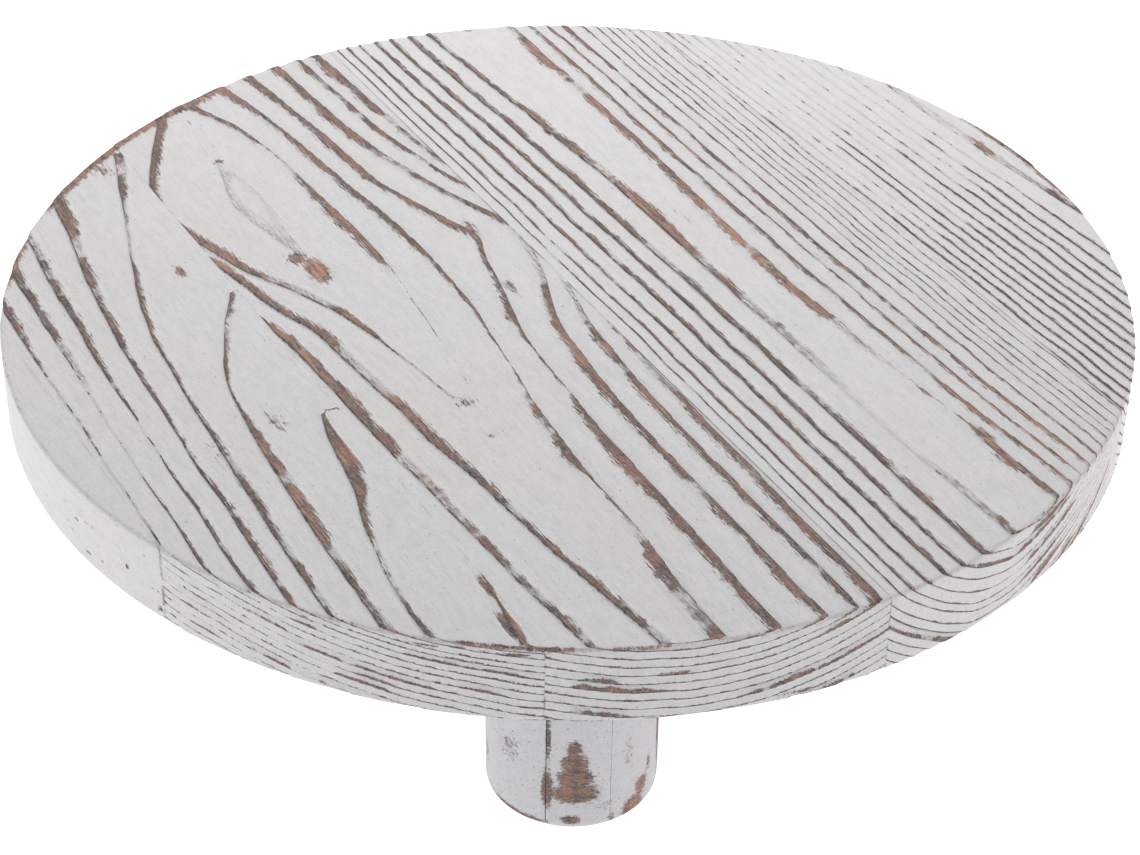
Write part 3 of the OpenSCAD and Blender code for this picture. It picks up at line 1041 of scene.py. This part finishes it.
# Bare patches on a leg: place round it from its front and height above the table, both in
# millimetres, then half width, half height, how bare, how orange
LEG_SPOTS = (
    (0.5, 14, 7.2, 3.8, 1.2, 0.45), (0.4, 19, 5.4, 4.4, 1.2, 0.4), (0.3, 24, 4.0, 4.4, 1.15, 0.4),
    (0.1, 29, 2.6, 3.6, 1.0, 0.3), (-0.5, 5.2, 3.4, 1.9, 1.0, 0.3), (17, 4.5, 5.0, 4.5, 1.0, 1.0),
    (20, 9.5, 3.4, 5.0, 0.9, 0.9), (23, 15, 2.4, 5.0, 0.66, 0.7), (32, 34, 4.2, 30.0, 1.4, 0.35),
    (-6.8, 15, 2.2, 9.0, 0.95, 0.2), (-6.6, 32, 1.3, 14.0, 0.75, 0.0), (-30, 14, 2.5, 8.0, 0.6, 0.5),
    (52, 40, 3.0, 9.0, 0.8, 0.4), (-55, 26, 2.4, 10.0, 0.75, 0.4), (62, 12, 3.5, 5.0, 0.8, 0.8),
    (-16, 3.5, 14.0, 1.2, 0.9, 0.1), (10, 3.5, 2.4, 5.0, 0.6, 0.1), (-18, 24, 7.0, 10.0, 0.56, 0.0),
    (8, 9, 10.0, 3.5, 0.52, 0.0), (15, 24, 4.0, 12.0, 0.5, 0.0), (-27, 44, 4.0, 12.0, 0.54, 0.0),
)

LEG_RING = 4.2  # Millimetres between the rings on a leg's side

# How the bare patches lie on each leg: turned over or not, moved round it, moved up it
LEG_WEAR = {"front": (1, 0, 0), "right": (-1, 5, 9), "left": (1, -11, -5)}


def leg_attributes(piece, seed, side="front"):
    """Stores the grain, wear and rolled-out place of a stave, which stands at the front leg.

    Returns how far each vertex is brushed.
    """
    flip, shift, lift = LEG_WEAR[side]
    places = vectors(piece.data)
    x = places[:, 0] - LEG_AXIS.x
    y = places[:, 1] - LEG_AXIS.y
    height = places[:, 2] / MM
    round_mm = np.arctan2(x, -y) * LEG_R / MM
    inset = (LEG_R - np.hypot(x, y)) / MM
    outside = 1 - smoothstep(0.5, 3.0, inset)
    wander = 0.5 * lattice_noise(seed, height / 16, round_mm / 6)
    ring = (round_mm + wander) / LEG_RING + seed * 0.37
    ring = ring + 0.5 * lattice_noise(seed + 1, round_mm / 9, height / 200)
    gap = np.full_like(x, LEG_RING)
    ridge = np.clip(0.02 + 0.25 * lattice_noise(seed + 2, round_mm / 7, height / 30), 0, 1)
    bare = np.zeros_like(x)
    warm = np.zeros_like(x)
    for *spot, amount, orange in LEG_SPOTS:
        near = blob(round_mm * flip - shift, height - lift, *spot)
        bare = np.maximum(bare, amount * near * outside)
        warm = np.maximum(warm, orange * smoothstep(0.2, 0.6, near))
    foot = np.exp(-(((height - LEG_LOW.z / MM) / 1.6) ** 2)) * outside
    bare = np.maximum(bare, foot * (0.42 + 0.25 * lattice_noise(seed + 3, round_mm / 6, height * 0)))
    left_seam = np.abs(x - (LEG_LOW.x - LEG_AXIS.x)) / MM
    right_seam = np.abs(x - (LEG_HIGH.x - LEG_AXIS.x)) / MM * (1.8 + 2 * smoothstep(6, 20, height))
    seam = np.minimum(left_seam, right_seam)
    cover = np.full_like(x, 0.35)
    for label, rows in (("grain", (ring, gap, ridge)), ("wear", (bare, warm, cover)),
                        ("seam", (seam, inset, height)),
                        ("leg_place", (height, 2 * round_mm + seed * 60, inset))):
        write_vectors(piece.data, label, np.stack(rows, axis=1))
    brushed = np.maximum(0.35 * smoothstep(0.6, 0.1, left_seam), 0.1 * smoothstep(1.0, 0.2, right_seam))
    return np.clip((brushed + 0.1 * lattice_noise(seed + 4, round_mm / 5, height / 9)) * outside, 0, 1)


def add_cylinder(around, radius, low, high):
    """An upright cylinder on the front leg's axis, with its places written into the mesh."""
    tidy_selection()
    bpy.ops.mesh.primitive_cylinder_add(vertices=around, radius=radius, depth=high - low,
                                        location=(LEG_AXIS.x, LEG_AXIS.y, (low + high) / 2))
    bpy.ops.object.transform_apply(location=True, rotation=True, scale=True)
    return bpy.context.object


def whole_leg(settings):
    """The front leg in one piece: a cylinder with a rounded foot and even rows up its side."""
    tall = LEG_HIGH.z - LEG_LOW.z
    around = int(2 * math.pi * LEG_R / settings.leg_step)
    piece = add_cylinder(around, LEG_R, LEG_LOW.z, LEG_HIGH.z)
    mesh = piece.data
    roundings = ((LEG_LOW.z, settings.foot_round, 6), (LEG_HIGH.z, settings.foot_round / 5, 2))
    for level, width, segments in roundings:
        heights = edge_places(mesh)[:, :, 2]
        edit_parts(piece, "edges", (np.abs(heights - level) < TINY).all(axis=1))
        bpy.ops.mesh.bevel(offset=width, segments=segments, profile=0.5, affect="EDGES")
        leave_edit()
    heights = edge_places(mesh)[:, :, 2]
    edit_parts(piece, "edges", np.abs(heights[:, 0] - heights[:, 1]) > tall / 2)
    bpy.ops.mesh.subdivide(number_cuts=int(tall / settings.leg_step / 1.3))
    leave_edit()
    for level in (LEG_LOW.z, LEG_HIGH.z):
        inset_cap(piece, level)
    return piece


def inset_cap(piece, level):
    """Insets a round end a few times, so that it has points to carry its grain."""
    faces = piece.data.polygons
    flat = [abs(face.center.z - level) < TINY and len(face.vertices) > 8 for face in faces]
    edit_parts(piece, "polygons", np.array(flat))
    for _ in range(4):
        bpy.ops.mesh.inset(thickness=LEG_R / 6)
    leave_edit()


def copy_piece(piece):
    """A copy of a piece with its own mesh."""
    make_active(piece)
    bpy.ops.object.duplicate(linked=False)
    return bpy.context.object


def one_for_each_leg(piece):
    """The front leg's piece and its copies, one for each leg, all still where the front leg stands."""
    return list(zip(LEG_SIDES, [piece] + [copy_piece(piece) for _ in LEG_SIDES[1:]]))


def turn_to_leg(piece, side):
    """Turns a piece about the middle of the stand, from the front leg to its own leg."""
    make_active(piece)
    piece.matrix_world = Matrix.Rotation(LEG_SIDES.index(side) * LEG_STEP, 4, "Z")
    bpy.ops.object.transform_apply(location=True, rotation=True, scale=True)


def saw_stave(leg, left, right):
    """A stave sawn out of a copy of the whole leg, between two upright planes."""
    piece = copy_piece(leg)
    for offset, keeps_right in ((left, True), (right, False)):
        if offset is None:
            continue
        edit_all(piece)
        bpy.ops.mesh.bisect(plane_co=(offset, 0, 0), plane_no=(1, 0, 0), use_fill=True,
                            clear_inner=keeps_right, clear_outer=not keeps_right)
        leave_edit()
    return piece


def build_legs(settings, material):
    """Three legs of three staves: the front one is sawn and brushed, and the others are copies."""
    leg = whole_leg(settings)
    cuts = {"left": (None, LEG_LOW.x), "core": (LEG_LOW.x, LEG_HIGH.x), "right": (LEG_HIGH.x, None)}
    for seed, (part, (left, right)) in enumerate(cuts.items(), start=11):
        stave = saw_stave(leg, left, right)
        brushed = leg_attributes(stave, seed)
        sink(stave, brushed * settings.leg_relief, settings.leg_relief)
        for turn, (side, piece) in enumerate(one_for_each_leg(stave)):
            leg_attributes(piece, seed + 10 * turn, side)
            turn_to_leg(piece, side)
            name = f"{side}_leg_{part}_stave"
            finish_piece(piece, f"painted_{name}", name, material)
    bpy.data.objects.remove(leg)


# ------------------------------------------------------------------ pads and screws


def felt(colours):
    """Dense wool felt: short crossing fibres and a soft uneven face."""
    material, tree, shader = new_material("Brown Felt", 0.95)
    here = object_place(tree)
    hair = noise(here, (3.0, 3.0, 3.0), 5.0, 0.75)
    tuft = noise(here, (0.35, 0.35, 0.35), 3.0)
    deep = (*(part * 0.45 for part in colours.felt), 1)
    colour = blend(ramp(hair, 0.35, 0.68), deep, (*colours.felt, 1))
    colour = blend(ramp(tuft, 0.4, 0.7, 0.0, 0.4), colour, (0.38, 0.30, 0.22, 1))
    feed(shader, {"Base Color": colour, "Normal": bump(hair + tuft * 0.5, 0.0004)})
    return material


def screw_steel(colours):
    """Plain plated steel with fine turning marks and a little dulling."""
    material, tree, shader = new_material("Plated Steel", 0.35)
    here = object_place(tree)
    turning = noise(here, (0.4, 0.4, 9.0), 2.0)
    dull = noise(here, (0.3, 0.3, 0.3), 3.0)
    dark = (*(part * 0.6 for part in colours.steel), 1)
    feed(shader, {"Base Color": blend(ramp(dull, 0.4, 0.7), (*colours.steel, 1), dark), "Metallic": 1.0,
                  "Roughness": ramp(dull, 0.3, 0.7, 0.25, 0.5), "Normal": bump(turning, 0.00003)})
    return material


PAD_UNEVEN = 0.00025  # How far a pad's edge is pressed in at most


def build_pads(material):
    """Felt pads: a thin disc with softened, slightly uneven edges, copied under each leg."""
    thick = PAD_HIGH.z - PAD_LOW.z
    radius = (PAD_HIGH.x - PAD_LOW.x) / 2
    pad = add_cylinder(96, radius, PAD_LOW.z, PAD_HIGH.z)
    for level in (PAD_LOW.z, PAD_HIGH.z):
        inset_cap(pad, level)
    ends = edge_places(pad.data)
    outer = np.hypot(ends[:, :, 0] - LEG_AXIS.x, ends[:, :, 1] - LEG_AXIS.y) > radius * 0.99
    level_edge = np.abs(ends[:, 0, 2] - ends[:, 1, 2]) < TINY
    edit_parts(pad, "edges", outer.all(axis=1) & level_edge)
    bpy.ops.mesh.bevel(offset=thick * 0.28, segments=3, affect="EDGES")
    leave_edit()
    places = vectors(pad.data)
    x = places[:, 0] - LEG_AXIS.x
    y = places[:, 1] - LEG_AXIS.y
    uneven = 0.5 + 0.5 * lattice_noise(21, np.arctan2(y, x) * 6, places[:, 2] / MM)
    sink(pad, uneven * PAD_UNEVEN * smoothstep(radius * 0.85, radius, np.hypot(x, y)), PAD_UNEVEN)
    for side, piece in one_for_each_leg(pad):
        turn_to_leg(piece, side)
        finish_piece(piece, f"felt_{side}_leg_pad", f"{side}_leg_pad", material)


# ------------------------------------------------------------------ settings and operators


def length_property(name, description, default, low, high):
    return FloatProperty(name=name, description=description, default=default, min=low, max=high,
                         unit="LENGTH")


def colour_property(name, description, default):
    return FloatVectorProperty(name=name, description=description, default=default, min=0.0, max=1.0,
                               size=3, subtype="COLOR")


class StandSizes(bpy.types.PropertyGroup):
    """Sizes of the stand's finish and of the meshes that carry it."""
    rim_round: length_property(
        "Rim rounding", "Radius of the rounding along the rim", 0.001, 0.0003, 0.003)
    relief: length_property(
        "Brushed relief", "Depth that brushing sinks the soft wood below the ridges", 0.0005, 0.0001, 0.0012)
    across_step: length_property(
        "Step across grain", "Width of a mesh cell across the grain", 0.00042, 0.0003, 0.002)
    along_step: length_property(
        "Step along grain", "Length of a mesh cell along the grain", 0.00115, 0.0005, 0.004)
    rim_step: length_property(
        "Step down rim", "Height of a mesh cell on the rim", 0.00045, 0.0003, 0.002)
    under_cell: length_property(
        "Underside cell", "Width of a mesh cell on the underside", 0.0032, 0.001, 0.01)
    foot_round: length_property(
        "Foot rounding", "Radius of the rounding at the foot of a leg", 0.0024, 0.0005, 0.004)
    leg_relief: length_property(
        "Leg relief", "Depth of the brushed grain and of the joints on a leg", 0.00035, 0.0, 0.001)
    leg_step: length_property("Leg step", "Width of a mesh cell on a leg", 0.00065, 0.0004, 0.003)


class StandColours(bpy.types.PropertyGroup):
    """Colours of the paint, the bare wood and the small parts."""
    paint: colour_property("Paint", "White paint of the boards", (0.60, 0.588, 0.588))
    # Painted light: a darker copy of the white paint, set apart from the boards' paint to match how light
    # falls on the legs
    leg_paint_matched_to_light: colour_property("Leg paint", "White paint of the legs", (0.575, 0.57, 0.585))
    wood: colour_property("Bare wood", "Scorched wood where the paint has worn off", (0.165, 0.088, 0.067))
    warm_wood: colour_property("Warm wood", "Orange-brown wood where wear is deepest", (0.37, 0.185, 0.112))
    # This dark colour is the bare wood's darker tone, the specks and the joints, and also the painted shade
    # on steep edges and at the foot of each step
    dark_wood_and_shade: colour_property("Dark wood", "Grey-brown wood on steep edges", (0.058, 0.045, 0.043))
    felt: colour_property("Felt", "Wool felt of the pads", (0.22, 0.14, 0.09))
    steel: colour_property("Steel", "Plated steel of the screws", (0.62, 0.60, 0.55))
    floor: colour_property("Floor", "Plain pale floor", (0.93, 0.93, 0.94))


class STAND_OT_boards(bpy.types.Operator):
    """Build the five brushed and painted boards of the top"""
    bl_idname = "stand.boards"
    bl_label = "Build Boards"

    def execute(self, context):
        colours = context.scene.stand_colours
        material = worn_paint("Worn Painted Boards", colours, colours.paint, on_leg=False,
                              ragged=0.9, hairs=0.32, breaks=0.41, grime_and_shade=0.35)
        for name in BOARDS:
            build_board(name, context.scene.stand_sizes, material)
        return {"FINISHED"}


class STAND_OT_legs(bpy.types.Operator):
    """Build the three laminated legs"""
    bl_idname = "stand.legs"
    bl_label = "Build Legs"

    def execute(self, context):
        colours = context.scene.stand_colours
        # The legs take their own copy of the white paint, set to match the light on them: painted light
        material = worn_paint("Worn Painted Legs", colours, colours.leg_paint_matched_to_light, on_leg=True,
                              ragged=0.7, hairs=0.6, breaks=0.56, grime_and_shade=0.75)
        build_legs(context.scene.stand_sizes, material)
        return {"FINISHED"}


class STAND_OT_pads(bpy.types.Operator):
    """Build the felt pad under each leg"""
    bl_idname = "stand.pads"
    bl_label = "Build Pads"

    def execute(self, context):
        build_pads(felt(context.scene.stand_colours))
        return {"FINISHED"}


class STAND_OT_screws(bpy.types.Operator):
    """Give the leg screws their plated steel"""
    bl_idname = "stand.screws"
    bl_label = "Finish Screws"

    def execute(self, context):
        material = screw_steel(context.scene.stand_colours)
        for side in LEG_SIDES:
            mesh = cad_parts[f"{side}_leg_screw"].data
            mesh.materials.clear()
            mesh.materials.append(material)
        return {"FINISHED"}


# Softboxes: name, place, what it points at, width and height, power, colour
SOFTBOXES = (
    ("Back Softbox", (0.06, 0.46, 0.5), (0, 0.08, TOP_Z), (0.9, 0.5), 3.4, (1.0, 0.99, 0.99)),
    ("Left Softbox", (-1.3, -0.2, 0.5), (0, 0, TOP_Z), (1.2, 1.0), 5.0, (0.96, 0.97, 1.0)),
    ("Right Softbox", (1.3, -0.2, 0.5), (0, 0, TOP_Z), (1.2, 1.0), 4.5, (1.0, 0.98, 0.97)),
)


def area_light(name, place, target, size, power, colour):
    tidy_selection()
    bpy.ops.object.light_add(type="AREA", location=place)
    lamp = bpy.context.object
    lamp.name = name
    lamp.rotation_euler = (Vector(target) - Vector(place)).to_track_quat("-Z", "Y").to_euler()
    lamp.data.shape = "RECTANGLE"
    lamp.data.size, lamp.data.size_y = size
    lamp.data.energy = power
    lamp.data.color = colour


class STAND_OT_stage(bpy.types.Operator):
    """Set the pale floor, the soft studio light and the camera"""
    bl_idname = "stand.stage"
    bl_label = "Set Stage"

    def execute(self, context):
        scene = context.scene
        tidy_selection()
        bpy.ops.mesh.primitive_plane_add(size=12, location=(0, 0, 0))
        floor = context.object
        floor.name = "studio_floor"
        material, _, shader = new_material("Pale Floor", 0.9)
        feed(shader, {"Base Color": (*scene.stand_colours.floor, 1), "Emission Color": (1, 1, 1, 1),
                      "Emission Strength": 0.68})
        floor.data.materials.append(material)
        world = bpy.data.worlds.new("Studio")
        world.use_nodes = True
        feed(world.node_tree.nodes["Background"], {"Color": (0.98, 0.985, 1.0, 1), "Strength": 0.56})
        scene.world = world
        for softbox in SOFTBOXES:
            area_light(*softbox)
        scene.view_settings.view_transform = "Standard"
        add_camera(scene)
        return {"FINISHED"}


def add_camera(scene):
    """A long lens in front of the stand and a little to its left, looking down on the top."""
    side = math.radians(-1.6)
    back = 4.273 * TOP_R
    rise = 2.756 * TOP_R
    place = (back * math.sin(side), -back * math.cos(side), TOP_Z + rise)
    bpy.ops.object.camera_add(location=place)
    camera = bpy.context.object
    camera.name = "Camera"
    camera.data.lens = 90
    camera.data.sensor_width = 36
    camera.data.dof.use_dof = False
    turn = Matrix.Rotation(side - math.radians(0.09), 4, "Z")
    tilt = Matrix.Rotation(math.radians(54.35), 4, "X")
    roll = Matrix.Rotation(math.radians(1.06), 4, "Z")
    camera.rotation_euler = (turn @ tilt @ roll).to_euler()
    scene.camera = camera


class STAND_PT_panel(bpy.types.Panel):
    """Sizes, colours and build steps of the cake stand"""
    bl_idname = "STAND_PT_panel"
    bl_label = "Cake Stand"
    bl_space_type = "VIEW_3D"
    bl_region_type = "UI"
    bl_category = "Cake Stand"

    def draw(self, context):
        for group in (context.scene.stand_sizes, context.scene.stand_colours):
            box = self.layout.box()
            for key in group.bl_rna.properties.keys():
                if key not in ("rna_type", "name"):
                    box.prop(group, key)
        for step in STEPS:
            self.layout.operator(step.bl_idname)


STEPS = (STAND_OT_boards, STAND_OT_legs, STAND_OT_pads, STAND_OT_screws, STAND_OT_stage)
CLASSES = (StandSizes, StandColours, *STEPS, STAND_PT_panel)


def register():
    for entry in CLASSES:
        bpy.utils.register_class(entry)
    bpy.types.Scene.stand_sizes = PointerProperty(type=StandSizes)
    bpy.types.Scene.stand_colours = PointerProperty(type=StandColours)


def unregister():
    del bpy.types.Scene.stand_sizes
    del bpy.types.Scene.stand_colours
    for entry in reversed(CLASSES):
        bpy.utils.unregister_class(entry)


def main():
    register()
    bpy.ops.stand.boards()
    bpy.ops.stand.legs()
    bpy.ops.stand.pads()
    bpy.ops.stand.screws()
    bpy.ops.stand.stage()


if __name__ == "__main__":
    main()
